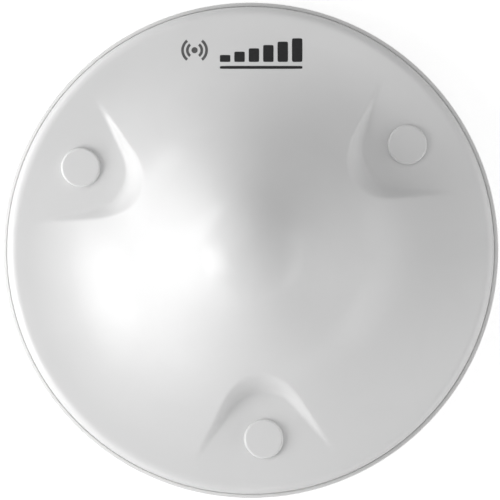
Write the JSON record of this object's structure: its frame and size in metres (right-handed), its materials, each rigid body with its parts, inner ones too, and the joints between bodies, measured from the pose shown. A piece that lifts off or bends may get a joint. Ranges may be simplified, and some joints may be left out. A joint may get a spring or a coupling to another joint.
{
  "type": "ceiling dome antenna",
  "caption": "Indoor ceiling dome antenna of a cellular signal booster: white conical cover with three capped screw pockets, round base, coaxial jack behind.",
  "frame": {"origin": "centre of the base plate's ceiling face, on the axis of the dome and of the jack", "axes": "+Z out of the ceiling face through the nose of the dome, the jack points along -Z, and the screw caps stand at 30, 150 and 270 degrees from +X"},
  "size_m": [0.186, 0.186, 0.0877],
  "materials": {
    "cover": "semi-gloss moulded white",
    "base": "satin moulded white",
    "caps": "semi-gloss moulded white",
    "screws": "bright zinc plated",
    "ground_plane": "rolled sheet",
    "radiator": "formed sheet, lightly tinned",
    "rivets": "plain",
    "jack": "nickel plated",
    "insulator": "machined, waxy white",
    "contact": "gold plated"
  },
  "bodies": {
    "base": {"base_plate": "base", "ground_plane": "ground_plane", "ground_plane_screw_1": "screws", "ground_plane_screw_2": "screws", "ground_plane_screw_3": "screws", "radiator_cone": "radiator", "radiator_top_plate": "radiator", "shorting_leg_1": "radiator", "shorting_leg_2": "radiator", "shorting_leg_3": "radiator", "leg_screw_1": "screws", "leg_screw_2": "screws", "leg_screw_3": "screws", "top_rivet_1": "rivets", "top_rivet_2": "rivets", "top_rivet_3": "rivets", "connector_body": "jack", "connector_hex_nut": "jack", "connector_lock_washer": "jack", "connector_insulator": "insulator", "connector_contact": "contact", "feed_ferrule": "radiator"},
    "cover": {"radome": "cover", "mounting_screw_1": "screws", "mounting_screw_2": "screws", "mounting_screw_3": "screws"},
    "cap_1": {"screw_cap_1": "caps"},
    "cap_2": {"screw_cap_2": "caps"},
    "cap_3": {"screw_cap_3": "caps"}
  },
  "joints": [
    {"name": "cover_lift", "type": "slide", "parent": "base", "child": "cover", "axis": [0, 0, 1], "range_m": [0, 0.06]},
    {"name": "cap_1_pull", "type": "slide", "parent": "cover", "child": "cap_1", "axis": [0, 0, 1], "range_m": [0, 0.014]},
    {"name": "cap_2_pull", "type": "slide", "parent": "cover", "child": "cap_2", "axis": [0, 0, 1], "range_m": [0, 0.014]},
    {"name": "cap_3_pull", "type": "slide", "parent": "cover", "child": "cap_3", "axis": [0, 0, 1], "range_m": [0, 0.014]}
  ]
}
